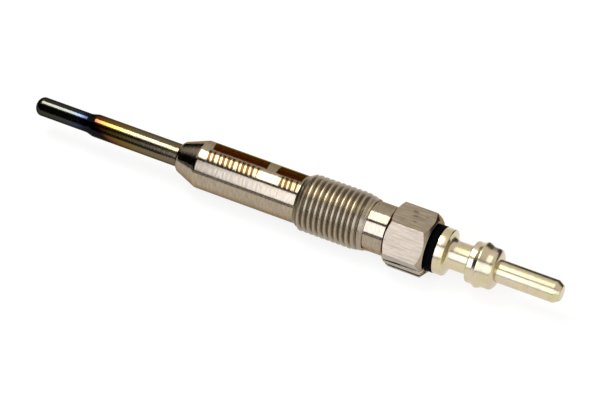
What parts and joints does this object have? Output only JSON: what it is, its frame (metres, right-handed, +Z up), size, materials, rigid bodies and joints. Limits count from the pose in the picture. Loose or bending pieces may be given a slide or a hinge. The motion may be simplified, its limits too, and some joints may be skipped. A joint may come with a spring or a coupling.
{
  "type": "diesel glow plug",
  "caption": "Slim diesel glow plug: metal sheath with a stepped tip, conical seat, fine screw thread, hexagon and a round push-on terminal.",
  "frame": {"origin": "middle of the bounding box, on the plane that the plug rests on", "axes": "+X along the plug's axis from the glow tip to the terminal, +Z up through the top flat of the hexagon, which lies on its opposite flat"},
  "size_m": [0.0984, 0.0116, 0.01],
  "materials": {
    "sheath_alloy": "heat-tinted, smooth",
    "plated_steel": "nickel plated, fine turning marks",
    "heating_wire": "drawn",
    "control_wire": "drawn",
    "magnesia": "packed powder",
    "seal_rubber": "matte",
    "pin_steel": "drawn",
    "ring_rubber": "matte",
    "black_plastic": "moulded, matte",
    "tinned_steel": "tin plated, bright"
  },
  "bodies": {
    "root": {"glow_tube": "sheath_alloy", "plug_shell": "plated_steel", "heating_coil": "heating_wire", "control_coil": "control_wire", "insulating_powder": "magnesia", "tube_seal": "seal_rubber", "connecting_pin": "pin_steel", "o_ring": "ring_rubber", "insulating_washer": "black_plastic", "terminal": "tinned_steel"}
  },
  "joints": []
}
